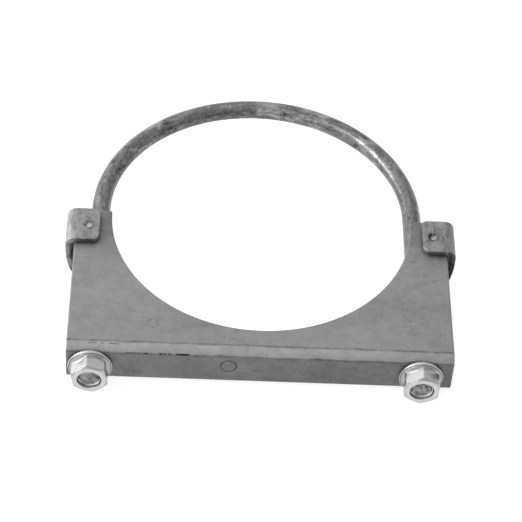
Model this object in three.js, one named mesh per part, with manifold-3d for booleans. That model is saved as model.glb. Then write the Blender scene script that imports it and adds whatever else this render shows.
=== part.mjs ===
// Heavy-duty 5 inch U-bolt pipe clamp, saddle type, lying flat.
// Millimetres, +Z up. The origin is on the axis of the clamped pipe (the centre of
// the saddle's round cut-out), at the height of the U-bolt's own plane. +Z runs
// along the pipe, +Y from the saddle's web towards the crown of the U-bolt, and the
// two nuts face -Y.
import * as THREE from "three";
import { mergeVertices } from "three/addons/utils/BufferGeometryUtils.js";
import Module from "manifold-3d";

// ---------------------------------------------------------------- dimensions
const SEAT_R = 65.1; // saddle cut-out, for a 5 in pipe in a 5 1/8 in (130.2 mm) clamp
const SHEET = 2.6; // saddle sheet thickness
const SADDLE_HALF_W = 80.6; // half the saddle's width
const SADDLE_H = 19.6; // over both plates of the folded saddle
const WEB_Y = -78.6; // outer face of the web that the nuts pull against
const BEND_R = 4.0; // outer radius of the two long folds
const HORN_Y = 1.6; // tips of the saddle's two horns
const WEB_HOLE_X = 68.9; // web holes, half spacing
const WEB_HOLE_R = 6.6;

const TAB_IN_X = 69.7; // inner end of each folded-over tab
const TAB_OUT_X = 84.5; // outer side of each tab
const TAB_Y0 = -18.7; // front edge of each tab
const TAB_Y1 = 0.1; // back edge of each tab
const TAB_GAP = 0.1; // between the tab's leaf and the plate under it
const TAB_CORNER_FRONT = 4.2;
const TAB_CORNER_BACK = 3.0;
const STAKE_X = 74.8; // punched stake that locks the tab to the plate
const STAKE_Y = -9.9;

const LEG_X = 68.9; // half the spacing of the U-bolt's legs
const ROD_R = 4.05; // unthreaded rod, reduced body
const CROWN_Y = 11.6; // centre of the U-bolt's half circle
const SHIFT_X = -1.6; // the U-bolt sits over to one side in its clearance holes
const THREAD_R = 4.7; // 3/8-16 UNC thread, over its crests
const THREAD_LEN = 44.5;
const ROD_END_Y = -86.2;

const NUT_AF = 14.29; // 9/16 in across flats
const NUT_H = 8.6;
const NUT_GAP = 0.3; // between the nut's flange and the web
const FLANGE_R = 9.3;
const FLANGE_RIM = 1.25;
const NUT_BORE_R = 5.05;
const NUT_TURN = { left: -8.5, right: 1 }; // degrees about +Y, a corner near the top

// ---------------------------------------------------------------- helpers
const wasm = await Module();
wasm.setup();

function solid(geometry) {
  const g = geometry.clone();
  g.deleteAttribute("normal");
  g.deleteAttribute("uv");
  const m = mergeVertices(g, 1e-4);
  return new wasm.Manifold(
    new wasm.Mesh({
      numProp: 3,
      vertProperties: new Float32Array(m.attributes.position.array),
      triVerts: new Uint32Array(m.index.array),
    }),
  );
}

function geometryOf(s) {
  const m = s.getMesh();
  const g = new THREE.BufferGeometry();
  g.setAttribute("position", new THREE.BufferAttribute(m.vertProperties, 3));
  g.setIndex(new THREE.BufferAttribute(m.triVerts, 1));
  g.computeVertexNormals();
  return g;
}

const v2 = (x, y) => new THREE.Vector2(x, y);

// Points of a circular arc from angle a0 to a1 (degrees), ends included.
function arc(cx, cy, r, a0, a1, n) {
  const pts = [];
  for (let i = 0; i <= n; i++) {
    const a = THREE.MathUtils.degToRad(a0 + ((a1 - a0) * i) / n);
    pts.push(v2(cx + r * Math.cos(a), cy + r * Math.sin(a)));
  }
  return pts;
}

// Extrudes an outline and places it: u and v are the world axes of the outline's
// own x and y, and the depth runs along u cross v from `from`.
function extrude(points, depth, u, v, from) {
  const g = new THREE.ExtrudeGeometry(new THREE.Shape(points), {
    depth,
    bevelEnabled: false,
    steps: 1,
  });
  const w = new THREE.Vector3().crossVectors(u, v);
  g.applyMatrix4(new THREE.Matrix4().makeBasis(u, v, w));
  g.translate(from.x, from.y, from.z);
  return solid(g);
}

const X = new THREE.Vector3(1, 0, 0);
const Y = new THREE.Vector3(0, 1, 0);
const Z = new THREE.Vector3(0, 0, 1);

// A turned body about the Y axis; its profile starts and ends on the axis.
const turned = (profile, n) =>
  solid(new THREE.LatheGeometry(profile.map((p) => v2(p[0], p[1])), n));

function cylinder(r, h, axis, n, at) {
  const g = new THREE.CylinderGeometry(r, r, h, n);
  if (axis === Z) g.rotateX(Math.PI / 2);
  g.translate(at.x, at.y, at.z);
  return solid(g);
}

// ---------------------------------------------------------------- saddle
function makeSaddle() {
  const h = SADDLE_H / 2;
  const ri = BEND_R - SHEET;
  // The sheet's section across the channel, outline in (y, z).
  const section = [
    v2(HORN_Y, h),
    ...arc(WEB_Y + BEND_R, h - BEND_R, BEND_R, 90, 180, 8),
    ...arc(WEB_Y + BEND_R, -h + BEND_R, BEND_R, 180, 270, 8),
    v2(HORN_Y, -h),
    v2(HORN_Y, -h + SHEET),
    ...arc(WEB_Y + BEND_R, -h + BEND_R, ri, 270, 180, 6),
    ...arc(WEB_Y + BEND_R, h - BEND_R, ri, 180, 90, 6),
    v2(HORN_Y, h - SHEET),
  ];
  let s = extrude(section, 2 * SADDLE_HALF_W, Y, Z, {
    x: -SADDLE_HALF_W,
    y: 0,
    z: 0,
  });

  // Tabs: each runs on from the bottom plate's horn, up round its side and over
  // the top plate. Centre line in (x, z), then offset half a sheet each way.
  const topZ = h + TAB_GAP + SHEET / 2;
  const wallX = TAB_OUT_X - SHEET / 2;
  const r1 = 2.6,
    r2 = 42,
    r3 = 3.0,
    lean = 16;
  const a1 = THREE.MathUtils.degToRad(90 - lean);
  const startX = wallX - r2 * (1 - Math.sin(a1)) - r1 * Math.sin(a1);
  const z0 = -h + SHEET / 2;
  const line = [];
  const put = (x, z, heading) => line.push({ x, z, heading });
  put(76.0, z0, 0);
  for (let i = 0; i <= 7; i++) {
    const a = (a1 * i) / 7;
    put(startX + r1 * Math.sin(a), z0 + r1 * (1 - Math.cos(a)), a);
  }
  const e1 = line[line.length - 1];
  for (let i = 1; i <= 5; i++) {
    const a = a1 + ((Math.PI / 2 - a1) * i) / 5;
    put(
      e1.x + r2 * (Math.sin(a) - Math.sin(a1)),
      e1.z + r2 * (Math.cos(a1) - Math.cos(a)),
      a,
    );
  }
  for (let i = 0; i <= 8; i++) {
    const a = Math.PI / 2 + ((Math.PI / 2) * i) / 8;
    put(
      wallX - r3 + r3 * Math.sin(a),
      topZ - r3 - r3 * Math.cos(a),
      a,
    );
  }
  put(TAB_IN_X, topZ, Math.PI);
  const side = (d) =>
    line.map((p) => v2(p.x + d * Math.sin(p.heading), p.z - d * Math.cos(p.heading)));
  const strip = [...side(SHEET / 2), ...side(-SHEET / 2).reverse()];
  let tab = extrude(strip, TAB_Y1 - TAB_Y0, X, Z, { x: 0, y: TAB_Y1, z: 0 });
  // Rounded corners of the leaf, outline in (x, y).
  const leaf = [
    v2(90, TAB_Y0 - 1),
    v2(90, TAB_Y1 + 1),
    v2(76.5, TAB_Y1 + 1),
    v2(76.5, TAB_Y1),
    ...arc(TAB_IN_X + TAB_CORNER_BACK, TAB_Y1 - TAB_CORNER_BACK, TAB_CORNER_BACK, 90, 180, 6),
    ...arc(TAB_IN_X + TAB_CORNER_FRONT, TAB_Y0 + TAB_CORNER_FRONT, TAB_CORNER_FRONT, 180, 270, 6),
    v2(76.5, TAB_Y0),
    v2(76.5, TAB_Y0 - 1),
  ];
  tab = tab.intersect(extrude(leaf, 60, X, Y, { x: 0, y: 0, z: -30 }));
  s = s.add(tab).add(tab.mirror([1, 0, 0]));

  // Round cut-out for the pipe, straight sided past its centre; outline in (x, y).
  const mouth = [
    v2(SEAT_R, HORN_Y + 8),
    v2(-SEAT_R, HORN_Y + 8),
    ...arc(0, 0, SEAT_R, 180, 360, 96),
  ];
  s = s.subtract(extrude(mouth, 60, X, Y, { x: 0, y: 0, z: -30 }));

  for (const sx of [-1, 1]) {
    // Clearance hole in the web for the leg.
    s = s.subtract(
      cylinder(WEB_HOLE_R, 12, Y, 40, { x: sx * WEB_HOLE_X, y: WEB_Y + 1, z: 0 }),
    );
    // Stake: sheet of the tab punched down through the plate, hollow from above.
    const at = { x: sx * STAKE_X, y: STAKE_Y };
    s = s.add(cylinder(2.3, 4.2, Z, 20, { ...at, z: h - 1.0 }));
    s = s.subtract(cylinder(1.3, 6, Z, 16, { ...at, z: topZ + SHEET / 2 - 1.8 + 3 }));
  }
  return s;
}

// ---------------------------------------------------------------- U-bolt
// Centre line: leg, half circle, leg. Its stations are the sweep's own steps.
class UBoltLine extends THREE.Curve {
  constructor(arcSteps) {
    super();
    this.stations = [{ p: [LEG_X, ROD_END_Y + 2, 0], t: [0, 1, 0] }];
    for (let i = 0; i <= arcSteps; i++) {
      const a = (Math.PI * i) / arcSteps;
      this.stations.push({
        p: [LEG_X * Math.cos(a), CROWN_Y + LEG_X * Math.sin(a), 0],
        t: [-Math.sin(a), Math.cos(a), 0],
      });
    }
    this.stations.push({ p: [-LEG_X, ROD_END_Y + 2, 0], t: [0, -1, 0] });
  }
  at(u) {
    return this.stations[Math.round(u * (this.stations.length - 1))];
  }
  getPointAt(u) {
    return new THREE.Vector3(...this.at(u).p);
  }
  getTangentAt(u) {
    return new THREE.Vector3(...this.at(u).t);
  }
}

function makeUBolt() {
  const path = new UBoltLine(64);
  const sweep = new THREE.ExtrudeGeometry(
    new THREE.Shape(arc(0, 0, ROD_R, 0, 342, 19)),
    { extrudePath: path, steps: path.stations.length - 1, bevelEnabled: false },
  );
  let s = solid(sweep);
  if (s.volume() < 0) throw new Error("rod sweep faces inwards");
  // Rolled 3/8-16 thread on each leg, drawn as a plain cylinder with a chamfered end.
  const y0 = ROD_END_Y,
    y1 = ROD_END_Y + THREAD_LEN;
  const thread = turned(
    [
      [0, y0],
      [THREAD_R - 1.0, y0],
      [THREAD_R, y0 + 1.0],
      [THREAD_R, y1 - 1.4],
      [ROD_R - 0.3, y1],
      [0, y1],
    ],
    40,
  );
  s = s.add(thread.translate([LEG_X, 0, 0])).add(thread.translate([-LEG_X, 0, 0]));
  return s;
}

// ---------------------------------------------------------------- flange nut
// Bearing face at y = 0, nose at y = -NUT_H.
function makeNut() {
  const corner = NUT_AF / 2 / Math.cos(Math.PI / 6);
  const hex = [];
  for (let i = 0; i < 6; i++) {
    const a = (Math.PI / 3) * i + Math.PI / 6; // corners at 90 and 270 degrees
    hex.push(v2(corner * Math.cos(a), corner * Math.sin(a)));
  }
  const prism = extrude(hex, NUT_H - 0.6, X, Z, { x: 0, y: -0.6, z: 0 });
  const envelope = turned(
    [
      [0, -NUT_H],
      [6.75, -NUT_H],
      [corner + 0.3, -NUT_H + 0.95],
      [corner + 0.3, 0],
      [0, 0],
    ],
    48,
  );
  const flange = turned(
    [
      [0, -3.0],
      [6.9, -3.0],
      [7.7, -2.2],
      [8.7, -FLANGE_RIM - 0.25],
      [FLANGE_R, -FLANGE_RIM + 0.3],
      [FLANGE_R, -0.35],
      [FLANGE_R - 0.35, 0],
      [0, 0],
    ],
    48,
  );
  const bore = turned(
    [
      [0, -NUT_H - 1],
      [NUT_BORE_R + 1.3, -NUT_H - 1],
      [NUT_BORE_R, -NUT_H + 0.3],
      [NUT_BORE_R, -0.6],
      [NUT_BORE_R + 1.6, 1],
      [0, 1],
    ],
    48,
  );
  return prism.intersect(envelope).add(flange).subtract(bore);
}

// ---------------------------------------------------------------- assembly
function mesh(name, s, material) {
  const m = new THREE.Mesh(geometryOf(s), material);
  m.name = name;
  return m;
}

const clamp = new THREE.Group();
clamp.name = "pipe_clamp";

clamp.add(
  mesh(
    "saddle",
    makeSaddle(),
    new THREE.MeshStandardMaterial({ color: 0x8e8e8e, roughness: 0.6, metalness: 0.75 }),
  ),
);

const uBolt = mesh(
  "u_bolt",
  makeUBolt(),
  new THREE.MeshStandardMaterial({ color: 0x7d7d7d, roughness: 0.45, metalness: 0.85 }),
);
uBolt.position.set(SHIFT_X, 0, 0);
clamp.add(uBolt);

for (const [name, x, turn] of [
  ["flange_nut_left", SHIFT_X - LEG_X, NUT_TURN.left],
  ["flange_nut_right", SHIFT_X + LEG_X, NUT_TURN.right],
]) {
  const nut = mesh(
    name,
    makeNut(),
    new THREE.MeshStandardMaterial({ color: 0xd4d4d2, roughness: 0.3, metalness: 0.95 }),
  );
  nut.position.set(x, WEB_Y - NUT_GAP, 0);
  nut.rotation.y = THREE.MathUtils.degToRad(turn);
  clamp.add(nut);
}

export default clamp;
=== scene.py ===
import bpy
import bmesh
import math
import numpy as np
from mathutils import Matrix, Vector, geometry


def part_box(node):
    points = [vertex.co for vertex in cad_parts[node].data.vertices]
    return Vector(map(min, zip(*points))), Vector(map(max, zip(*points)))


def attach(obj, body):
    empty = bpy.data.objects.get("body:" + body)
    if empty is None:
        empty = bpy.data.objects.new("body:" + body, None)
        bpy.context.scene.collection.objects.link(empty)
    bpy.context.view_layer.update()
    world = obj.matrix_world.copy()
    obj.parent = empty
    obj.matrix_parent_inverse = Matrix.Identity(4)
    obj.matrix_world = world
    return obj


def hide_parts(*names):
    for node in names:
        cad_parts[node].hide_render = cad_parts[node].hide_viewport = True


# Looks of a heavy 5 inch saddle-type U-bolt clamp. Shapes below are worked in millimetres in
# the row frame and scaled to metres when a mesh is made.
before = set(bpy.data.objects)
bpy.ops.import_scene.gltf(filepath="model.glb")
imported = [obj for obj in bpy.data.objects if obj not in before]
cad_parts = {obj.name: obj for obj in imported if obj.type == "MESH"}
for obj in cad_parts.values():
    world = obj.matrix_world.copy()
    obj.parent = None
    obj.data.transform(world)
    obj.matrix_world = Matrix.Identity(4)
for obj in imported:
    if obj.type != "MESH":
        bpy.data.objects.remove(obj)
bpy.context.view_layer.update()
MM = 0.001


def mm_box(node):
    lo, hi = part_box(node)
    return np.array(lo) * 1000, np.array(hi) * 1000


SAD_LO, SAD_HI = mm_box("saddle")
BOW_LO, BOW_HI = mm_box("u_bolt")
NUT_L_LO, NUT_L_HI = mm_box("flange_nut_left")
NUT_R_LO, NUT_R_HI = mm_box("flange_nut_right")
NUT_L_CX = float(NUT_L_LO[0] + NUT_L_HI[0]) / 2 * MM
NUT_R_CX = float(NUT_R_LO[0] + NUT_R_HI[0]) / 2 * MM
NUT_Y = float(NUT_L_HI[1]) * MM  # bearing faces


# ------------------------------------------------------------------ helpers
def smooth(x):
    x = np.clip(x, 0.0, 1.0)
    return x * x * (3 - 2 * x)


def make_object(name, verts, faces, sharp_deg, material, along=None):
    """A mesh object at the origin from points in mm; doubles merged, normals outward. along holds each point's place in the bar's own straight frame, kept as an attribute for its material."""
    bm = bmesh.new()
    layer = bm.verts.layers.float_vector.new("bar") if along is not None else None
    vs = [bm.verts.new((float(v[0]) * MM, float(v[1]) * MM, float(v[2]) * MM)) for v in verts]
    if along is not None:
        for v, a in zip(vs, along):
            v[layer] = (a[0] * MM, a[1] * MM, a[2] * MM)
    for f in faces:
        if len(set(f)) == len(f):
            try:
                bm.faces.new([vs[i] for i in f])
            except ValueError:
                pass
    bmesh.ops.remove_doubles(bm, verts=bm.verts, dist=2e-6)
    bmesh.ops.dissolve_degenerate(bm, dist=1e-7, edges=bm.edges)
    loose = [v for v in bm.verts if not v.link_faces]
    bmesh.ops.delete(bm, geom=loose, context="VERTS")
    bmesh.ops.recalc_face_normals(bm, faces=bm.faces)
    if bm.calc_volume(signed=True) < 0:
        bmesh.ops.reverse_faces(bm, faces=bm.faces)
    open_edges = sum(1 for e in bm.edges if len(e.link_faces) != 2)
    me = bpy.data.meshes.new(name)
    bm.to_mesh(me)
    bm.free()
    me.materials.append(material)
    me.polygons.foreach_set("use_smooth", [True] * len(me.polygons))
    me.set_sharp_from_angle(angle=math.radians(sharp_deg))
    ob = bpy.data.objects.new(name, me)
    bpy.context.scene.collection.objects.link(ob)
    print(name, len(me.vertices), "verts", len(me.polygons), "faces", open_edges, "open edges")
    return ob


# ------------------------------------------------------------------ materials
class Nodes:
    """A short way to write a node graph."""

    def __init__(self, name):
        self.mat = bpy.data.materials.new(name)
        self.mat.use_nodes = True
        self.t = self.mat.node_tree
        self.t.nodes.clear()
        self.out = self.t.nodes.new("ShaderNodeOutputMaterial")
        self.bsdf = self.t.nodes.new("ShaderNodeBsdfPrincipled")
        self.t.links.new(self.bsdf.outputs["BSDF"], self.out.inputs["Surface"])
        tc = self.t.nodes.new("ShaderNodeTexCoord")
        self.obj = tc.outputs["Object"]

    def put(self, sock, v):
        if isinstance(v, bpy.types.NodeSocket):
            self.t.links.new(v, sock)
        else:
            sock.default_value = v

    def mapping(self, scale=(1, 1, 1), loc=(0, 0, 0), rot=(0, 0, 0), src=None):
        n = self.t.nodes.new("ShaderNodeMapping")
        self.t.links.new(src or self.obj, n.inputs["Vector"])
        n.inputs["Scale"].default_value = scale
        n.inputs["Location"].default_value = loc
        n.inputs["Rotation"].default_value = rot
        return n.outputs["Vector"]

    def noise(self, scale, detail=4.0, rough=0.55, vec=None, distort=0.0, out="Fac"):
        n = self.t.nodes.new("ShaderNodeTexNoise")
        self.t.links.new(vec or self.obj, n.inputs["Vector"])
        n.inputs["Scale"].default_value = scale
        n.inputs["Detail"].default_value = detail
        n.inputs["Roughness"].default_value = rough
        n.inputs["Distortion"].default_value = distort
        return n.outputs[out]

    def voronoi(self, scale, feature="F1", vec=None, out="Distance"):
        n = self.t.nodes.new("ShaderNodeTexVoronoi")
        n.feature = feature
        self.t.links.new(vec or self.obj, n.inputs["Vector"])
        n.inputs["Scale"].default_value = scale
        return n.outputs[out]

    def ramp(self, fac, lo, hi, a=0.0, b=1.0, kind="SMOOTHSTEP"):
        n = self.t.nodes.new("ShaderNodeMapRange")
        n.interpolation_type = kind
        self.put(n.inputs["Value"], fac)
        n.inputs["From Min"].default_value = lo
        n.inputs["From Max"].default_value = hi
        n.inputs["To Min"].default_value = a
        n.inputs["To Max"].default_value = b
        return n.outputs["Result"]

    def math(self, op, a, b=0.0, c=0.0):
        n = self.t.nodes.new("ShaderNodeMath")
        n.operation = op
        self.put(n.inputs[0], a)
        self.put(n.inputs[1], b)
        self.put(n.inputs[2], c)
        return n.outputs[0]

    def xyz(self, vec=None):
        n = self.t.nodes.new("ShaderNodeSeparateXYZ")
        self.t.links.new(vec or self.obj, n.inputs[0])
        return n.outputs

    def attribute(self, name):
        n = self.t.nodes.new("ShaderNodeAttribute")
        n.attribute_type = "GEOMETRY"
        n.attribute_name = name
        return n.outputs["Vector"]

    def span(self, v, lo, hi, soft):
        """1 between lo and hi, falling to 0 over soft on each side."""
        return self.math("MULTIPLY", self.ramp(v, lo - soft, lo + soft), self.ramp(v, hi - soft, hi + soft, 1.0, 0.0))

    def dist(self, p):
        n = self.t.nodes.new("ShaderNodeVectorMath")
        n.operation = "DISTANCE"
        self.t.links.new(self.obj, n.inputs[0])
        n.inputs[1].default_value = p
        return n.outputs["Value"]

    def grey(self, v):
        n = self.t.nodes.new("ShaderNodeCombineColor")
        for i in range(3):
            self.put(n.inputs[i], v)
        return n.outputs["Color"]

    def bump(self, height, strength, distance, normal=None):
        n = self.t.nodes.new("ShaderNodeBump")
        n.inputs["Strength"].default_value = strength
        n.inputs["Distance"].default_value = distance
        self.put(n.inputs["Height"], height)
        if normal is not None:
            self.t.links.new(normal, n.inputs["Normal"])
        return n.outputs["Normal"]


def saddle_steel():
    g = Nodes("saddle_sheet")
    # broad unevenness of the rolled sheet, drawn out along the clamp's width
    broad = g.noise(38, 3, 0.5, g.mapping(scale=(0.6, 1, 1)))
    mottle = g.noise(260, 5, 0.6)
    fine = g.noise(1500, 3, 0.6)
    lines = g.noise(420, 3, 0.5, g.mapping(scale=(0.05, 1, 1), rot=(0, 0, 0.06)))
    v = g.math("MULTIPLY_ADD", g.math("SUBTRACT", broad, 0.5), 0.15, 0.272)
    v = g.math("MULTIPLY_ADD", g.math("SUBTRACT", mottle, 0.5), 0.13, v)
    v = g.math("MULTIPLY_ADD", g.math("SUBTRACT", fine, 0.5), 0.10, v)
    v = g.math("MULTIPLY_ADD", g.math("SUBTRACT", lines, 0.5), 0.025, v)
    # the tabs were hammered over: darker streaks along their outer bends and a rubbed, speckled top
    x, y, z = g.xyz()
    ax = g.math("ABSOLUTE", x)
    # painted shade: the whole sheet is made a little darker towards the right, away from the light
    v = g.math("MULTIPLY_ADD", g.ramp(x, -0.050, 0.060), -0.022, v)
    tab = g.math("MAXIMUM", g.ramp(ax, 0.0806, 0.0812), g.math("MULTIPLY", g.ramp(z, 0.0104, 0.0108), g.ramp(ax, 0.0690, 0.0698)))
    streak = g.noise(420, 5, 0.65, g.mapping(scale=(1.1, 0.16, 0.5)))
    where = g.ramp(g.noise(130, 3, 0.5), 0.35, 0.65)
    v = g.math("MULTIPLY_ADD", g.math("MULTIPLY", tab, g.math("MULTIPLY", g.ramp(streak, 0.48, 0.66), where)), -0.115, v)
    worn = g.ramp(g.noise(900, 4, 0.7), 0.46, 0.62)
    v = g.math("MULTIPLY_ADD", g.math("MULTIPLY", tab, worn), 0.065, v)
    # painted highlight: the outer bend of the left tab is lightened where the light from the left falls on it; the
    # right tab is made a little darker all over, in patches
    bend = g.math("MULTIPLY", g.ramp(x, -0.0785, -0.0812), g.ramp(g.noise(210, 4, 0.6, g.mapping(scale=(1, 0.25, 1))), 0.36, 0.60, 0.1, 1.0))
    v = g.math("MULTIPLY_ADD", g.math("MULTIPLY", tab, bend), 0.160, v)
    right_tab_darker = g.math("MULTIPLY", g.ramp(x, 0.0, 0.01), g.ramp(g.noise(240, 5, 0.65, g.mapping(scale=(1, 0.2, 1), loc=(0.003, 0, 0))), 0.38, 0.60, 0.25, 1.0))
    v = g.math("MULTIPLY_ADD", g.math("MULTIPLY", tab, right_tab_darker), -0.020, v)
    patch = g.ramp(g.noise(190, 5, 0.65, g.mapping(scale=(1, 0.6, 1), loc=(0.009, 0.002, 0))), 0.46, 0.62)
    v = g.math("MULTIPLY_ADD", g.math("MULTIPLY", tab, patch), -0.070, v)
    # painted shade: the tabs' front edges and the leaves' inner ends are darkened where they stand over the plate, a
    # little more on the right
    edge_shade = g.math("MULTIPLY", g.ramp(y, -0.01815, -0.01850), g.ramp(y, -0.0193, -0.0190))
    edge_shade = g.math("MULTIPLY", edge_shade, g.math("MAXIMUM", g.ramp(ax, HALF_W * MM, HALF_W * MM + 0.0006), g.ramp(z, 0.0099, 0.0101)))
    tip_end = g.math("MULTIPLY", g.ramp(ax, TAB_IN * MM + 0.00055, TAB_IN * MM + 0.00025), g.ramp(z, 0.0099, 0.0101))
    edge_shade = g.math("MAXIMUM", edge_shade, tip_end)
    v = g.math("MULTIPLY_ADD", g.math("MULTIPLY", edge_shade, g.ramp(x, -0.01, 0.01, 0.95, 1.0)), -0.135, v)
    # painted glint: each stake's dimple centre is lightened; round it a darker ring, partly painted shade on the
    # dimple's wall and partly smudges
    for sx, sy in STAKES:
        d = g.dist((sx * MM, sy * MM, float(SAD_HI[2]) * MM))
        v = g.math("MULTIPLY_ADD", g.ramp(d, 0.0016, 0.0011), 0.30, v)
        v = g.math("MULTIPLY_ADD", g.math("MULTIPLY", g.ramp(d, 0.0013, 0.0016), g.ramp(d, 0.0030, 0.0020)), g.ramp(g.noise(700, 3, 0.6), 0.35, 0.55, -0.03, -0.11), v)
    # painted shade: the horns' top faces are darkened towards their tips, next to the tabs' leaves
    tip = g.math("MULTIPLY", g.ramp(y, -0.030, -0.004), g.ramp(ax, 0.0600, 0.0640))
    tip = g.math("MULTIPLY", tip, g.ramp(g.noise(160, 4, 0.6), 0.25, 0.6, 0.55, 1.0))
    tip = g.math("MULTIPLY", tip, g.ramp(z, 0.0101, 0.0099))
    v = g.math("MULTIPLY_ADD", tip, -0.085, v)
    # handling scratches: sparse, thin, and slightly lighter
    s1 = g.voronoi(95, "DISTANCE_TO_EDGE", g.mapping(scale=(0.16, 1.1, 1), rot=(0, 0, 0.5)))
    s2 = g.voronoi(80, "DISTANCE_TO_EDGE", g.mapping(scale=(1.0, 0.13, 1), rot=(0, 0, 0.35)))
    keep = g.ramp(g.noise(60, 2, 0.5), 0.56, 0.66)
    scr = g.math("MAXIMUM", g.ramp(s1, 0.0, 0.012, 1, 0), g.ramp(s2, 0.0, 0.012, 1, 0))
    scr = g.math("MULTIPLY", scr, keep)
    v = g.math("MULTIPLY_ADD", scr, 0.04, v)
    # small dark pits and smudges, gathered in a few places
    near = g.ramp(g.noise(34, 3, 0.6, g.mapping(loc=(0.021, 0.013, 0))), 0.50, 0.62)
    pit = g.math("MULTIPLY", g.ramp(g.noise(520, 4, 0.65, g.mapping(scale=(0.7, 1, 1), loc=(0.007, 0, 0))), 0.60, 0.68), near)
    v = g.math("MULTIPLY_ADD", pit, -0.085, v)
    smudge = g.math("MULTIPLY", g.ramp(g.noise(150, 4, 0.6, g.mapping(loc=(0.011, 0.004, 0))), 0.52, 0.66), near)
    v = g.math("MULTIPLY_ADD", smudge, -0.030, v)
    # the ring scuff on the plate
    d = g.dist((-0.0451, -0.0633, 0.0098))
    ring = g.math("MULTIPLY", g.ramp(d, 0.0015, 0.0021), g.ramp(d, 0.0023, 0.0029, 1, 0))
    ring = g.math("MULTIPLY", ring, g.ramp(g.noise(700, 2), 0.42, 0.6))
    v = g.math("MULTIPLY_ADD", ring, -0.080, v)
    # painted light and shade: the folds' rounds are lightened and the web below them darkened, as the light falls on
    # them, with a wavy border between; along the border a dark line, broken in places
    az = g.math("ABSOLUTE", z)
    front = g.ramp(y, -0.0738, -0.0744)
    wob = g.math("MULTIPLY_ADD", g.math("SUBTRACT", g.noise(75, 4, 0.65, g.mapping(scale=(1, 0.1, 0.1))), 0.5), 0.0011, az)
    band = g.math("MULTIPLY", g.ramp(wob, 0.00715, 0.00800), front)
    web = g.math("MULTIPLY", g.ramp(wob, 0.00790, 0.00710), g.ramp(y, -0.0770, -0.0775))
    v = g.math("MULTIPLY_ADD", g.math("MULTIPLY", band, g.ramp(g.noise(140, 5, 0.65), 0.32, 0.68, 0.25, 1.25)), 0.060, v)
    v = g.math("MULTIPLY_ADD", web, -0.100, v)
    lm = g.ramp(g.noise(95, 4, 0.65, g.mapping(scale=(1, 0.2, 0.2), loc=(0.004, 0, 0))), 0.34, 0.66, 0.10, 1.0)
    line = g.math("MULTIPLY", g.math("MULTIPLY", g.span(wob, 0.00705, 0.00785, 0.00035), front), lm)
    v = g.math("MULTIPLY_ADD", line, -0.100, v)
    # short gouges where the tool's edge bit
    bite = g.ramp(g.noise(620, 3, 0.6), 0.36, 0.50, 0.15, 1.0)
    upper = g.math("MULTIPLY", g.ramp(z, 0.0090, 0.0094), g.span(y, -0.07560, -0.07495, 0.00016))
    lower = g.math("MULTIPLY", g.span(z, 0.00715, 0.00785, 0.00020), g.ramp(y, -0.0760, -0.0765))
    gouge = 0.0
    for zone, x0, x1, k in (
        (upper, -0.0715, -0.0680, 0.45),
        (upper, -0.0663, -0.0650, 0.40),
        (upper, -0.0626, -0.0596, 1.40),
        (lower, -0.0553, -0.0493, 0.20),
        (lower, -0.0485, -0.0468, 0.75),
        (lower, -0.0424, -0.0392, 0.70),
        (lower, -0.0384, -0.0371, 0.50),
        (lower, -0.0350, -0.0288, 1.15),
    ):
        m = g.math("MULTIPLY", zone, g.math("MULTIPLY", g.span(x, x0, x1, 0.0003), k))
        gouge = g.math("MAXIMUM", gouge, m)
    gouge = g.math("MINIMUM", g.math("MULTIPLY", gouge, bite), 1.0)
    v = g.math("MULTIPLY_ADD", gouge, -0.27, v)
    # painted shade: the fold line on the top plate is darkened, unevenly along its length, as shade falls in its
    # shallow groove
    wy = g.math("MULTIPLY_ADD", g.math("SUBTRACT", g.noise(110, 4, 0.6, g.mapping(scale=(1, 0.3, 0.3))), 0.5), 0.0011, y)
    crease = g.math("MULTIPLY", g.span(wy, -0.07450, -0.07345, 0.00045), g.ramp(z, 0.0085, 0.0093))
    v = g.math("MULTIPLY_ADD", g.math("MULTIPLY", crease, g.ramp(g.noise(120, 5, 0.7, g.mapping(scale=(1, 0.3, 0.3))), 0.34, 0.62, 0.25, 1.0)), -0.120, v)
    # the stamped ring
    d = g.dist((STAMP[0] * MM, WEB * MM, STAMP[1] * MM))
    ring = g.span(d, 0.00305, 0.00355, 0.00016)
    v = g.math("MULTIPLY_ADD", ring, -0.13, v)
    v = g.math("MAXIMUM", v, 0.02)
    g.put(g.bsdf.inputs["Base Color"], g.grey(v))
    g.bsdf.inputs["Metallic"].default_value = 0.85
    r = g.math("MULTIPLY_ADD", mottle, 0.12, 0.42)
    r = g.math("MULTIPLY_ADD", fine, 0.10, r)
    g.put(g.bsdf.inputs["Roughness"], r)
    n = g.bump(fine, 0.35, 0.00003)
    n = g.bump(mottle, 0.30, 0.00008, n)
    n = g.bump(scr, 0.25, -0.00002, n)
    n = g.bump(gouge, 0.5, -0.00012, n)
    g.put(g.bsdf.inputs["Normal"], n)
    return g.mat


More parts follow.
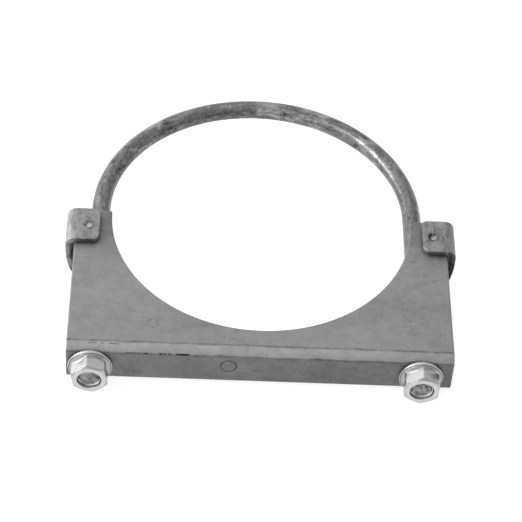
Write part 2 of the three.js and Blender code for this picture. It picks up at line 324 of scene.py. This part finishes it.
def rod_steel():
    g = Nodes("rod_steel")
    # mill scale left from rolling: dark, drawn out along the bar, broken into worn brighter
    # patches and fine speckle where it flaked in bending
    bar = g.attribute("bar")
    long_ = g.mapping(scale=(0.16, 1, 1), src=bar)
    a = g.noise(330, 6, 0.65, g.mapping(scale=(0.45, 1, 1), src=bar), distort=0.5)
    s = g.noise(700, 5, 0.6, long_)
    b = g.noise(900, 5, 0.7, g.mapping(scale=(0.6, 1, 1), src=bar))
    c = g.noise(55, 3, 0.5, bar)
    area = g.ramp(c, 0.42, 0.60)
    flake = g.math("MULTIPLY", g.ramp(a, 0.50, 0.60), g.ramp(area, 0.0, 1.0, 0.25, 1.0))
    v = g.math("MULTIPLY_ADD", flake, 0.13, 0.163)
    v = g.math("MULTIPLY_ADD", g.math("SUBTRACT", s, 0.5), 0.25, v)
    v = g.math("MULTIPLY_ADD", g.math("SUBTRACT", b, 0.5), 0.34, v)
    dark = g.math("MULTIPLY", g.ramp(g.noise(240, 5, 0.65, g.mapping(scale=(0.5, 1, 1), loc=(0.05, 0, 0), src=bar)), 0.54, 0.62), area)
    v = g.math("MULTIPLY_ADD", dark, -0.095, v)
    bx, by, bz = g.xyz(bar)
    # painted shade: the rod's inner side, along the left leg and left half of the bow, is darkened where the shadowed
    # floor would reflect in it
    inner = g.math("MULTIPLY", g.ramp(by, -0.0020, -0.0036), g.ramp(bx, 0.030, -0.010))
    v = g.math("MULTIPLY_ADD", g.math("MULTIPLY", inner, g.ramp(s, 0.3, 0.6, 0.5, 1.0)), -0.045, v)
    # painted highlight: the top of the bow's crown is lightened
    crown = g.math("MULTIPLY", g.span(bx, -0.0010, 0.0100, 0.0030), g.ramp(bz, 0.0, 0.002))
    v = g.math("MULTIPLY_ADD", g.math("MULTIPLY", crown, g.ramp(s, 0.3, 0.6, 0.4, 1.0)), 0.110, v)
    bright = g.math("MULTIPLY", g.ramp(b, 0.60, 0.68), g.ramp(a, 0.48, 0.56))
    v = g.math("MULTIPLY_ADD", bright, 0.22, v)
    v = g.math("MAXIMUM", v, 0.02)
    g.put(g.bsdf.inputs["Base Color"], g.grey(v))
    g.bsdf.inputs["Metallic"].default_value = 0.92
    r = g.math("MULTIPLY_ADD", b, 0.24, 0.20)
    r = g.math("MULTIPLY_ADD", flake, -0.06, r)
    r = g.math("MULTIPLY_ADD", dark, 0.12, r)
    g.put(g.bsdf.inputs["Roughness"], r)
    n = g.bump(b, 0.40, 0.00006)
    n = g.bump(s, 0.30, 0.00010, n)
    n = g.bump(a, 0.40, 0.00014, n)
    g.put(g.bsdf.inputs["Normal"], n)
    return g.mat


def nut_zinc():
    g = Nodes("zinc_nut")
    a = g.noise(420, 4, 0.55)
    b = g.noise(1600, 3, 0.6)
    turn = g.noise(900, 2, 0.5, g.mapping(scale=(0.12, 1, 0.12)))
    v = g.math("MULTIPLY_ADD", g.math("SUBTRACT", a, 0.5), 0.16, 0.53)
    v = g.math("MULTIPLY_ADD", g.math("SUBTRACT", b, 0.5), 0.08, v)
    x, y, z = g.xyz()
    off = g.math("MINIMUM", g.math("ABSOLUTE", g.math("SUBTRACT", x, NUT_L_CX)), g.math("ABSOLUTE", g.math("SUBTRACT", x, NUT_R_CX)))
    r = g.math("SQRT", g.math("MULTIPLY_ADD", off, off, g.math("MULTIPLY", z, z)))
    # painted shade: the flange's cone is darkened in a ring below the hex, and the groove round the flange's rim darker
    # still
    cone_shade = g.math("MULTIPLY", g.span(r, 0.0074, 0.0086, 0.0003), g.ramp(y, NUT_Y - 0.0036, NUT_Y - 0.0030))
    v = g.math("MULTIPLY_ADD", cone_shade, -0.17, v)
    v = g.math("MULTIPLY_ADD", g.span(r, 0.00866, 0.00892, 0.00010), -0.34, v)
    # painted shade: the hex's chamfer round the nose is darkened
    corner = g.math("MULTIPLY", g.ramp(r, 0.0067, 0.0071), g.ramp(y, NUT_Y - 0.0072, NUT_Y - 0.0077))
    v = g.math("MULTIPLY_ADD", corner, -0.10, v)
    spot = g.ramp(g.noise(260, 3, 0.6), 0.64, 0.74)
    v = g.math("MULTIPLY_ADD", spot, -0.10, v)
    g.put(g.bsdf.inputs["Base Color"], g.grey(v))
    g.bsdf.inputs["Metallic"].default_value = 1.0
    rough = g.math("MULTIPLY_ADD", a, 0.14, 0.17)
    g.put(g.bsdf.inputs["Roughness"], rough)
    n = g.bump(b, 0.2, 0.00002)
    n = g.bump(turn, 0.15, 0.00003, n)
    g.put(g.bsdf.inputs["Normal"], n)
    return g.mat


# ------------------------------------------------------------------ saddle
T = 2.6  # sheet
HT = T / 2
R_OUT = 4.0  # outer radius of the long folds
RC = R_OUT - HT
H = -float(SAD_LO[2])  # half the height over both plates
WEB = float(SAD_LO[1])  # outer face of the web
HORN = float(SAD_HI[1])  # horn tips
TAB_OUT = float(SAD_HI[0])
HALF_W = TAB_OUT - 3.9
SEAT = 65.1
LEAF_Z = float(SAD_HI[2]) - HT  # middle of the tab's leaf
TAB_IN = TAB_OUT - 14.8
TAB_Y0, TAB_Y1 = -18.7, 0.1
HOLE_X, HOLE_R = 68.9, 6.6
STAKES = [(-74.8, -9.9), (74.8, -9.9)]
EDGE = 0.55  # rounding of the sheared edges
STAMP = (-13.1, 1.6)  # a plain stamped ring on the web

WEB_S = H - R_OUT
BEND_L = RC * math.pi / 2
TOP_S = WEB_S + BEND_L
FOLD_Y = WEB + R_OUT


def s_of(y):
    return TOP_S + (y - FOLD_Y)


# centre line of a tab in (x, z), by length from where it leaves the bottom plate
R1, R2, R3, LEAN = 2.6, 42.0, 3.0, math.radians(16)
A1 = math.pi / 2 - LEAN
WALL_X = TAB_OUT - HT
START_X = WALL_X - R2 * (1 - math.sin(A1)) - R1 * math.sin(A1)
Z0 = -H + HT
L1 = R1 * A1
L2 = R2 * LEAN
E1 = (START_X + R1 * math.sin(A1), Z0 + R1 * (1 - math.cos(A1)))
E2Z = E1[1] + R2 * (math.cos(A1) - 0.0)
L3 = (LEAF_Z - R3) - E2Z
L4 = R3 * math.pi / 2
L5 = (WALL_X - R3) - TAB_IN
TAB_LEN = L1 + L2 + L3 + L4 + L5


def tab_line(t):
    """(x, z, heading) at length t along a tab."""
    if t <= L1:
        a = t / R1
        return START_X + R1 * math.sin(a), Z0 + R1 * (1 - math.cos(a)), a
    t -= L1
    if t <= L2:
        a = A1 + t / R2
        return (
            E1[0] + R2 * (math.sin(a) - math.sin(A1)),
            E1[1] + R2 * (math.cos(A1) - math.cos(a)),
            a,
        )
    t -= L2
    if t <= L3:
        return WALL_X, E2Z + t, math.pi / 2
    t -= L3
    if t <= L4:
        a = math.pi / 2 + t / R3
        return WALL_X - R3 + R3 * math.sin(a), LEAF_Z - R3 - R3 * math.cos(a), a
    t -= L4
    return WALL_X - R3 - t, LEAF_Z, math.pi


def u_of_tab(t):
    return START_X + t


def dimple(x, y, deep):
    """Depth of the stakes' dents at (x, y)."""
    d = 0.0
    for sx, sy in STAKES:
        r = math.hypot(x - sx, y - sy)
        if r < 4.5:
            k = min(max((r - 0.55) / 1.55, 0.0), 1.0)
            d += deep * (0.5 + 0.5 * math.cos(math.pi * k))
            d -= 0.50 * math.exp(-((r / 0.85) ** 2))
    return d


def fold_point(u, s, h):
    """A point of the flat blank (u along the width, s along the strip, h off the sheet's middle, outward) as it is in the folded saddle."""
    a = abs(u)
    sg = 1.0 if u >= 0 else -1.0
    y_here = FOLD_Y + (abs(s) - TOP_S)
    if s < 0 and a > START_X and TAB_Y0 - 0.6 < y_here < TAB_Y1 + 0.6:
        x, z, hd = tab_line(a - START_X)
        nx, nz = math.sin(hd), -math.cos(hd)
        px, pz = x + h * nx, z + h * nz
        if hd > math.pi - 1e-6:
            pz -= dimple(sg * px, y_here, 1.35 if h > 0 else 1.25)
        return sg * px, y_here, pz
    if abs(s) <= WEB_S:
        y = WEB + HT - h
        z = s
        if h > 0:
            r = math.hypot(u - STAMP[0], z - STAMP[1])
            y += 0.20 * math.exp(-(((r - 3.3) / 0.40) ** 4))
            y -= 0.03 * math.exp(-(((r - 4.0) / 0.25) ** 2))
        return u, y, z
    top = 1.0 if s > 0 else -1.0
    if abs(s) < TOP_S:
        th = (abs(s) - WEB_S) / RC
        r = RC + h
        return u, FOLD_Y - r * math.cos(th), top * (WEB_S + r * math.sin(th))
    z = (WEB_S + RC + h)
    if h > 0:
        # the line the folding tool leaves where the plate begins to bend
        z -= 0.05 * math.exp(-(((y_here + 73.95) / 0.40) ** 2))
    if top > 0:
        z -= dimple(u, y_here, 1.25 if h > 0 else 1.15)
    return u, y_here, top * z


def fillet_loop(pts):
    """Rounds a closed polygon: each point is (u, s, radius)."""
    out = []
    n = len(pts)
    for i in range(n):
        p0 = np.array(pts[i - 1][:2])
        p = np.array(pts[i][:2])
        p1 = np.array(pts[(i + 1) % n][:2])
        r = pts[i][2]
        if r <= 0:
            out.append(tuple(p))
            continue
        a, b = p0 - p, p1 - p
        la, lb = np.linalg.norm(a), np.linalg.norm(b)
        a, b = a / la, b / lb
        ang = math.acos(max(-1, min(1, float(a @ b))))
        t = min(r / math.tan(ang / 2), 0.49 * la, 0.49 * lb)
        r = t * math.tan(ang / 2)
        bis = (a + b) / np.linalg.norm(a + b)
        c = p + bis * (r / math.sin(ang / 2))
        q0, q1 = p + a * t, p + b * t
        a0 = math.atan2(*(q0 - c)[::-1])
        a1 = math.atan2(*(q1 - c)[::-1])
        d = (a1 - a0 + math.pi) % (2 * math.pi) - math.pi
        k = max(3, int(abs(d) * r / 0.35) + 1, int(abs(d) / 0.26) + 1)
        for j in range(k + 1):
            w = a0 + d * j / k
            out.append((c[0] + r * math.cos(w), c[1] + r * math.sin(w)))
    return out


def local_step(u, s):
    """Spacing of outline points: fine where the blank bends."""
    a = abs(u)
    if WEB_S - 0.3 < abs(s) < TOP_S + 0.3:
        return 0.42
    if s < 0 and a > START_X - 0.3:
        t = a - START_X
        if t < L1 + 0.3 or L1 + L2 + L3 - 0.3 < t < L1 + L2 + L3 + L4 + 0.3:
            return 0.40
        return 1.2
    return 1.3


def resample(loop):
    """Puts points along the straight parts of a loop, and keeps every corner point."""
    out = []
    n = len(loop)
    for i in range(n):
        p, q = np.array(loop[i]), np.array(loop[(i + 1) % n])
        d = np.linalg.norm(q - p)
        if d < 1e-6:
            continue
        out.append(tuple(p))
        t = 0.0
        while True:
            c = p + (q - p) * (t / d)
            t += local_step(*c)
            if d - t < 0.5 * local_step(*c):
                break
            out.append(tuple(p + (q - p) * (t / d)))
    return out


def blank_outline():
    s_horn, s_y0, s_y1 = s_of(HORN), s_of(TAB_Y0), s_of(TAB_Y1)
    notch_w = 1.0
    notch_u = START_X - 0.35
    right = [
        (SEAT, s_horn, 0.7),
        (HALF_W, s_horn, 2.2),
        (HALF_W, -s_of(TAB_Y0 - notch_w), 0.75),
        (notch_u, -s_of(TAB_Y0 - notch_w), 0.42),
        (notch_u, -s_y0, 0.42),
        (u_of_tab(TAB_LEN), -s_y0, 4.2),
        (u_of_tab(TAB_LEN), -s_y1, 3.0),
        (START_X - 0.75, -s_y1, 0.7),
        (START_X - 1.6, -s_horn, 1.2),
        (SEAT, -s_horn, 0.7),
    ]
    n = 150
    arc_b = [
        (SEAT * math.cos(-math.pi * i / n), -s_of(SEAT * math.sin(-math.pi * i / n)), 0)
        for i in range(n + 1)
    ]
    left = [(-u, s, r) for u, s, r in right[::-1]]
    arc_t = [(u, -s, 0) for u, s, _ in arc_b[::-1]]
    return fillet_loop(right + arc_b + left + arc_t)


def inset(loop, d, hole=False):
    """The loop moved d into the material."""
    p = np.array(loop)
    nx = np.roll(p, -1, 0) - p
    pv = p - np.roll(p, 1, 0)
    nx /= np.linalg.norm(nx, axis=1)[:, None]
    pv /= np.linalg.norm(pv, axis=1)[:, None]
    area = 0.5 * np.sum(p[:, 0] * np.roll(p[:, 1], -1) - p[:, 1] * np.roll(p[:, 0], -1))
    sgn = 1.0 if area > 0 else -1.0
    if hole:
        sgn = -sgn
    n1 = np.stack([-nx[:, 1], nx[:, 0]], 1) * sgn
    n0 = np.stack([-pv[:, 1], pv[:, 0]], 1) * sgn
    m = n0 + n1
    m /= np.linalg.norm(m, axis=1)[:, None]
    k = np.clip(np.sum(m * n1, axis=1), 0.5, 1.0)
    return p + m * (d / k)[:, None]


def inside(pts, loop):
    """Which points are inside a closed loop."""
    x, y = pts[:, 0], pts[:, 1]
    res = np.zeros(len(pts), bool)
    q = np.array(loop)
    a, b = q, np.roll(q, -1, 0)
    for (x0, y0), (x1, y1) in zip(a, b):
        if y0 == y1:
            continue
        c = (y0 > y) != (y1 > y)
        res ^= c & (x < (x1 - x0) * (y - y0) / (y1 - y0) + x0)
    return res


def build_saddle(mat):
    outer = resample(blank_outline())
    holes = [
        [
            (sx * HOLE_X + HOLE_R * math.cos(2 * math.pi * i / 72), HOLE_R * math.sin(2 * math.pi * i / 72))
            for i in range(72)
        ]
        for sx in (-1, 1)
    ]
    # web holes reach past the web's flat part into the folds a little, so the rim follows the fold
    loops = [(outer, False), (holes[0], True), (holes[1], True)]
    base = [inset(lp, EDGE, hole) for lp, hole in loops]
    ring2 = [inset(lp, EDGE + 0.35, hole) for lp, hole in loops]

    # interior points
    rng = np.random.default_rng(5)
    grid = []
    s_end = s_of(HORN)
    rows = []
    s = -s_end + 1.0
    while s < s_end:
        rows.append(s)
        a = abs(s)
        if WEB_S - 0.3 < a < TOP_S + 0.2:
            s += 0.42
        elif TOP_S <= a < TOP_S + 2.2:
            s += 0.17
        elif a < WEB_S:
            s += 1.6
        else:
            s += 2.6
    for k, s in enumerate(rows):
        fine = abs(s) < TOP_S + 2.3 and abs(s) > WEB_S - 0.4
        step = 2.8
        x = -82.0 + (0.5 * step if k % 2 else 0.0)
        while x < 82.0:
            j = 0.0 if fine else 0.25
            grid.append((x + rng.uniform(-j, j), s + rng.uniform(-j, j) * (0 if fine else 1)))
            x += step
    # tabs, in the direction they run
    t = 0.0
    cols = []
    while t < TAB_LEN:
        cols.append(t)
        if t < L1 + 0.2 or L1 + L2 + L3 - 0.3 < t < L1 + L2 + L3 + L4 + 0.2:
            t += 0.38
        else:
            t += 1.5
    for sg in (-1, 1):
        for t in cols:
            y = TAB_Y0 + 1.0
            while y < TAB_Y1 - 0.8:
                grid.append((sg * u_of_tab(t), -s_of(y)))
                y += 1.5
    grid = np.array(grid)
    # rings of points round the stakes, the stamp and the dents
    centres = []
    for sx, sy in STAKES:
        centres.append((sx, s_of(sy), 4.2, 0.28))
        t = L1 + L2 + L3 + L4 + (WALL_X - R3) - abs(sx)
        centres.append((math.copysign(u_of_tab(t), sx), -s_of(sy), 4.2, 0.28))
    centres.append((STAMP[0], STAMP[1], 4.4, 0.2))
    extra = []
    for cu, cs, rr, st in centres:
        grid = grid[np.hypot(grid[:, 0] - cu, grid[:, 1] - cs) > rr + 0.3]
        extra.append((cu, cs))
        r = st
        while r <= rr:
            n = max(8, int(2 * math.pi * r / max(st, 0.16 * r)))
            for i in range(n):
                w = 2 * math.pi * (i + 0.5 * (int(r / st) % 2)) / n
                extra.append((cu + r * math.cos(w), cs + r * math.sin(w)))
            r += st
    pts = np.vstack([grid, np.array(extra)])
    keep = inside(pts, inset(loops[0][0], EDGE + 0.62, False))
    for lp, _ in loops[1:]:
        keep &= ~inside(pts, inset(lp, EDGE + 0.62, True))
    pts = pts[keep]

    pool, edges = [], []
    for lp in base:
        o = len(pool)
        pool += [tuple(p) for p in lp]
        edges += [(o + i, o + (i + 1) % len(lp)) for i in range(len(lp))]
    for lp in ring2:
        pool += [tuple(p) for p in lp]
    pool += [tuple(p) for p in pts]
    got = geometry.delaunay_2d_cdt([Vector(p) for p in pool], edges, [], 0, 1e-5)
    v2 = np.array([tuple(v) for v in got[0]])
    tris = [f for f in got[2] if len(f) == 3]
    cen = np.array([(v2[f[0]] + v2[f[1]] + v2[f[2]]) / 3 for f in tris])
    ok = inside(cen, base[0])
    for lp in base[1:]:
        ok &= ~inside(cen, lp)
    tris = [f for f, k in zip(tris, ok) if k]

    verts, faces = [], []

    def add(u, s, h):
        verts.append(fold_point(u, s, h))
        return len(verts) - 1

    top = [add(p[0], p[1], HT) for p in v2]
    bot = [add(p[0], p[1], -HT) for p in v2]
    faces += [(top[a], top[b], top[c]) for a, b, c in tris]
    faces += [(bot[c], bot[b], bot[a]) for a, b, c in tris]
    # sheared rim: a small round, the edge, a small round
    steps = [(EDGE * (1 - math.sin(a)), HT - EDGE * (1 - math.cos(a))) for a in np.linspace(0, math.pi / 2, 4)]
    prof = steps + [(d, -h) for d, h in steps[::-1]]
    for lp, hole in loops:
        n = len(lp)
        rings = []
        for d, h in prof:
            q = inset(lp, d, hole)
            rings.append([add(p[0], p[1], h) for p in q])
        for r0, r1 in zip(rings[:-1], rings[1:]):
            for i in range(n):
                j = (i + 1) % n
                faces.append((r0[i], r0[j], r1[j], r1[i]))
    return make_object("clamp_saddle", verts, faces, 38, mat)


# ------------------------------------------------------------------ thread
PITCH = 1.5875
PHASE_Y = float(BOW_LO[1])
# radius along one pitch: root flat, flank, crest flat, flank
PROFILE = [(-0.0625, 3.80), (0.0625, 3.80), (0.23, 4.18), (0.405, 4.64), (0.45, 4.70), (0.55, 4.70), (0.595, 4.64), (0.77, 4.18)]


def sheared(cx, ya, yb, ncol, radius):
    """Rings of a helical thread about a Y axis through (cx, 0). radius(y, r_thread) gives the radius there. Rings that pass an end are held at it."""
    m = len(PROFILE)
    k0 = int(math.floor((ya - PHASE_Y) / PITCH)) - 2
    k1 = int(math.ceil((yb - PHASE_Y) / PITCH)) + 1
    rings = []
    for k in range(k0, k1 + 1):
        for t, r in PROFILE:
            rings.append((PHASE_Y + (k + t) * PITCH, r))
    verts, faces = [], []
    for y0, r in rings:
        for c in range(ncol):
            ph = 2 * math.pi * c / ncol
            y = min(max(y0 + PITCH * c / ncol, ya), yb)
            rr = radius(y, r)
            verts.append((cx + rr * math.sin(ph), y, rr * math.cos(ph)))
    nr = len(rings)
    for k in range(nr - 1):
        for c in range(ncol):
            if c < ncol - 1:
                a, b, d, e = k * ncol + c, (k + 1) * ncol + c, (k + 1) * ncol + c + 1, k * ncol + c + 1
            else:
                if k + 1 + m >= nr:
                    continue
                a, b, d, e = k * ncol + c, (k + 1) * ncol + c, (k + 1 + m) * ncol, (k + m) * ncol
            faces.append((a, b, d, e))
    return verts, faces


def build_bow(mat):
    N = 60
    rod = 4.05
    xl = float(BOW_LO[0]) + 4.7
    xr = float(BOW_HI[0]) - 4.7
    cx = (xl + xr) / 2
    rad = (xr - xl) / 2
    top = float(BOW_HI[1]) - rod
    yc = top - rad
    y0, y1 = float(BOW_LO[1]), float(BOW_LO[1]) + 44.5
    end_r = 3.95  # under the nuts' crests, so the ends pass through them

    def radius(y, r):
        if y <= y0 + 1e-9:
            return end_r
        r = min(r, end_r + (y - y0) * 1.05)
        w = float(smooth((y - (y1 - 2.6)) / 2.6))
        return r * (1 - w) + rod * w if y < y1 else rod

    verts, faces, along = [], [], []

    def add(vs, fs):
        o = len(verts)
        verts.extend(vs)
        faces.extend([tuple(i + o for i in f) for f in fs])
        for x, y, z in vs:  # (length along the bar, across, up)
            if y <= yc:
                if x < cx:
                    along.append((y - yc - rad * math.pi / 2, -(x - xl), z))
                else:
                    along.append((yc - y + rad * math.pi / 2, x - xr, z))
            else:
                along.append((rad * math.atan2(x - cx, y - yc), math.hypot(x - cx, y - yc) - rad, z))

    for x in (xl, xr):
        add(*sheared(x, y0, y1, N, radius))
        # the sawn end: nearly flat, slightly rough
        rng = np.random.default_rng(11 if x < 0 else 12)
        vs, fs = [], []
        rr = [end_r, 3.7, 3.0, 2.2, 1.4, 0.6]
        for k, r in enumerate(rr):
            for c in range(N):
                ph = 2 * math.pi * c / N
                dy = 0.0 if k == 0 else 0.05 + 0.10 * math.sin(r * 2.1 + 3 * ph + x) * 0.5 + rng.uniform(-0.03, 0.03)
                vs.append((x + r * math.sin(ph), y0 + dy, r * math.cos(ph)))
        vs.append((x, y0 + 0.08, 0.0))
        for k in range(len(rr) - 1):
            for c in range(N):
                d = (c + 1) % N
                fs.append((k * N + c, (k + 1) * N + c, (k + 1) * N + d, k * N + d))
        o = (len(rr) - 1) * N
        for c in range(N):
            fs.append((o + c, len(vs) - 1, o + (c + 1) % N))
        add(vs, fs)

    # the plain rod from thread to thread
    st = []
    ys = np.linspace(y1, yc, 30)
    for y in ys[:-1]:
        st.append((xl, y, -1.0, 0.0))
    na = 200
    for i in range(na + 1):
        a = math.pi - math.pi * i / na
        st.append((cx + rad * math.cos(a), yc + rad * math.sin(a), math.cos(a), math.sin(a)))
    for y in ys[::-1][1:]:
        st.append((xr, y, 1.0, 0.0))
    # Columns go round the rod from +Z. On the left leg outward is -X, so they fall on the
    # thread's own columns there, and in mirrored order on the right leg.
    out, fs = [], []
    for k, (x, y, ox, oy) in enumerate(st):
        part = (k - 29) / na
        w = math.sin(math.pi * part) ** 0.5 if 0 < part < 1 else 0.0
        for c in range(N):
            b = 2 * math.pi * c / N
            r, outward = rod, -math.sin(b)
            if outward < -0.2:  # the bend flattens the rod's inner side a little
                r -= 0.05 * w * (-outward - 0.2)
            out.append((x + r * outward * ox, y + r * outward * oy, r * math.cos(b)))
    ns = len(st)
    for k in range(ns - 1):
        for c in range(N):
            d = (c + 1) % N
            fs.append((k * N + c, (k + 1) * N + c, (k + 1) * N + d, k * N + d))
    add(out, fs)
    return make_object("clamp_u_bolt", verts, faces, 50, mat, along)


# ------------------------------------------------------------------ nuts
def build_nut(name, lo, hi, turn_deg, mat):
    N = 192
    cx = float(lo[0] + hi[0]) / 2
    y_bear, y_nose = float(hi[1]), float(lo[1])
    h = y_bear - y_nose
    af = 14.29 / 2
    turn = math.radians(turn_deg)
    flange = 9.3

    def hexr(ph):
        # flats at 30 degrees from the corners; corner at phi = turn
        s = 0.0
        for i in range(6):
            c = math.cos(ph - turn - math.pi / 6 - i * math.pi / 3)
            if c > 0:
                s += c ** 64
        return af * s ** (-1 / 64)

    hx = [hexr(2 * math.pi * c / N) for c in range(N)]
    cone_pts = [(6.4, -3.1), (7.0, -2.82), (7.7, -2.3), (8.3, -1.84), (8.62, -1.62)]

    def cone(r):
        return float(np.interp(r, [p[0] for p in cone_pts], [p[1] for p in cone_pts]))

    rings = []  # each a list of (radius, y) over the columns, y from the bearing face
    flat = 6.72
    for r, y in [(5.08, -h + 0.10), (5.16, -h + 0.01), (5.5, -h), (6.2, -h), (flat - 0.12, -h), (flat, -h + 0.035)]:
        rings.append([(r, y)] * N)
    for f in (0.35, 0.7, 0.93):
        rings.append([(flat + (hx[c] - flat) * f, -h + 0.02 + (hx[c] - flat) * f * 0.528) for c in range(N)])
    rings.append([(hx[c] - 0.015, -h + 0.03 + (hx[c] - flat) * 0.528) for c in range(N)])
    rings.append([(hx[c], -h + 0.10 + (hx[c] - flat) * 0.528) for c in range(N)])
    for f in (0.25, 0.5, 0.75):
        rings.append([(hx[c], (-h + 0.1 + (hx[c] - flat) * 0.528) * (1 - f) + (cone(hx[c]) - 0.18) * f) for c in range(N)])
    rings.append([(hx[c], cone(hx[c]) - 0.16) for c in range(N)])
    rings.append([(hx[c] + 0.04, cone(hx[c]) - 0.03) for c in range(N)])
    rings.append([(hx[c] + 0.16, cone(min(hx[c] + 0.16, 8.6)) + 0.0) for c in range(N)])
    for f in (0.33, 0.66):
        rings.append([((hx[c] + 0.16) * (1 - f) + 8.60 * f, cone((hx[c] + 0.16) * (1 - f) + 8.60 * f)) for c in range(N)])
    for r, y in [
        (8.60, -1.64), (8.66, -1.55), (8.70, -1.30), (8.76, -1.20), (8.84, -1.22), (8.90, -1.40), (8.97, -1.46),
        (9.10, -1.43), (9.22, -1.30), (flange, -1.10), (flange, -0.45), (flange - 0.06, -0.25), (flange - 0.25, -0.05),
        (flange - 0.45, 0.0), (8.0, 0.0), (6.8, 0.0), (6.1, 0.0), (5.5, -0.02), (5.3, -0.10),
    ]:
        rings.append([(r, y)] * N)
    verts, faces = [], []
    for ring in rings:
        for c, (r, y) in enumerate(ring):
            ph = 2 * math.pi * c / N
            verts.append((cx + r * math.sin(ph), y_bear + y, r * math.cos(ph)))
    nr = len(rings)
    for k in range(nr - 1):
        for c in range(N):
            d = (c + 1) % N
            faces.append((k * N + c, (k + 1) * N + c, (k + 1) * N + d, k * N + d))
    # internal thread, in step with the rod's own, from countersink to countersink
    ya, yb = y_nose + 0.10, y_bear - 0.10

    def radius(y, r):
        if y <= ya + 1e-9:
            return 5.08
        if y >= yb - 1e-9:
            return 5.3
        r = max(r + 0.12, 4.02)
        r = max(r, 5.08 - (y - ya) * 0.28 if y < ya + 1.2 else 4.744 - (y - ya - 1.2) * 1.4)
        return max(r, 5.3 - (yb - y) * 1.1)

    vs, fs = sheared(cx, ya, yb, N, radius)
    o = len(verts)
    verts += vs
    faces += [tuple(i + o for i in reversed(f)) for f in fs]
    return make_object(name, verts, faces, 33, mat)


# ------------------------------------------------------------------ pieces
m_saddle, m_rod, m_nut = saddle_steel(), rod_steel(), nut_zinc()
saddle = build_saddle(m_saddle)
bow = build_bow(m_rod)
nut_l = build_nut("clamp_nut_left", NUT_L_LO, NUT_L_HI, -8.5, m_nut)
nut_r = build_nut("clamp_nut_right", NUT_R_LO, NUT_R_HI, 1.0, m_nut)
for ob, node, body, sl in (
    (saddle, "saddle", "saddle", "saddle_sheet"),
    (bow, "u_bolt", "u_bolt", "rod_steel"),
    (nut_l, "flange_nut_left", "nut_left", "zinc_nut"),
    (nut_r, "flange_nut_right", "nut_right", "zinc_nut"),
):
    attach(ob, body)
    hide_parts(node)


# ------------------------------------------------------------------ stage
def floor_material():
    g = Nodes("floor_white")
    g.bsdf.inputs["Base Color"].default_value = (0.34, 0.34, 0.34, 1)
    g.bsdf.inputs["Roughness"].default_value = 0.9
    g.bsdf.inputs["Specular IOR Level"].default_value = 0.1
    g.bsdf.inputs["Emission Color"].default_value = (1, 1, 1, 1)
    g.bsdf.inputs["Emission Strength"].default_value = 0.80
    return g.mat


def make_floor():
    z = float(SAD_LO[2]) * MM - 0.0002
    me = bpy.data.meshes.new("floor")
    q = 6.0
    me.from_pydata([(-q, -q, z), (q, -q, z), (q, q, z), (-q, q, z)], [], [(0, 1, 2, 3)])
    me.materials.append(floor_material())
    ob = bpy.data.objects.new("floor", me)
    bpy.context.scene.collection.objects.link(ob)


make_floor()


def area_light(name, direction, dist, size, power, target=(0, 0, 0)):
    d = bpy.data.lights.new(name, "AREA")
    d.shape = "RECTANGLE"
    d.size, d.size_y = size
    d.energy = power
    ob = bpy.data.objects.new(name, d)
    v = Vector(direction).normalized()
    ob.location = Vector(target) + v * dist
    ob.rotation_mode = "QUATERNION"
    ob.rotation_quaternion = (-v).to_track_quat("-Z", "Y")
    bpy.context.scene.collection.objects.link(ob)
    return ob


# a long soft strip at the left, from low down behind to high over the side
lo_end, hi_end = Vector((-0.94, 0.33, -0.02)), Vector((-0.52, -0.13, 0.85))
strip = area_light("strip", (lo_end + hi_end) / 2, 1.1, (1.12, 0.20), 6.2)
zz = ((lo_end + hi_end) / 2).normalized()
xx = (hi_end - lo_end).normalized()
xx = (xx - zz * xx.dot(zz)).normalized()
strip.rotation_quaternion = Matrix((xx, zz.cross(xx), zz)).transposed().to_quaternion()

# A white studio, bright on the left and falling off to the right, and a little darker at the front.
world = bpy.data.worlds.new("studio")
world.use_nodes = True
wt = world.node_tree


def wmath(op, a, b=0.0, c=0.0):
    n = wt.nodes.new("ShaderNodeMath")
    n.operation = op
    for s, v in zip(n.inputs, (a, b, c)):
        if isinstance(v, bpy.types.NodeSocket):
            wt.links.new(v, s)
        else:
            s.default_value = v
    return n.outputs[0]


def wramp(v, lo, hi, a=0.0, b=1.0):
    n = wt.nodes.new("ShaderNodeMapRange")
    n.interpolation_type = "SMOOTHSTEP"
    wt.links.new(v, n.inputs["Value"])
    for k, q in (("From Min", lo), ("From Max", hi), ("To Min", a), ("To Max", b)):
        n.inputs[k].default_value = q
    return n.outputs["Result"]


wc = wt.nodes.new("ShaderNodeTexCoord")
wx = wt.nodes.new("ShaderNodeSeparateXYZ")
wt.links.new(wc.outputs["Generated"], wx.inputs[0])
dx, dy, dz = wx.outputs
b = wramp(dx, -0.90, 0.70, 1.50, 0.72)
b = wmath("MULTIPLY_ADD", wmath("MULTIPLY", wramp(dy, -0.45, -0.90), wramp(dz, 0.45, 0.75, 1.0, 0.0)), -0.30, b)
wt.links.new(b, wt.nodes["Background"].inputs["Strength"])
wt.nodes["Background"].inputs["Color"].default_value = (1, 1, 1, 1)
bpy.context.scene.world = world
bpy.context.scene.view_settings.view_transform = "Standard"

# ------------------------------------------------------------------ camera
cam = bpy.data.cameras.new("camera")
cam.lens = 153.6
cam.sensor_width = 36.0
cam.clip_start, cam.clip_end = 0.01, 20.0
cam_ob = bpy.data.objects.new("camera", cam)
right = Vector((0.99868264, 0.00227747, 0.05126211))
up = Vector((-0.03688894, 0.72628926, 0.68639866))
fwd = Vector((0.03566787, 0.68738543, -0.72541649))
rot = Matrix((right, up, -fwd)).transposed()
cam_ob.matrix_world = Matrix.Translation(Vector((-0.0342293, -0.6826600, 0.7033957))) @ rot.to_4x4()
bpy.context.scene.collection.objects.link(cam_ob)
bpy.context.scene.camera = cam_ob
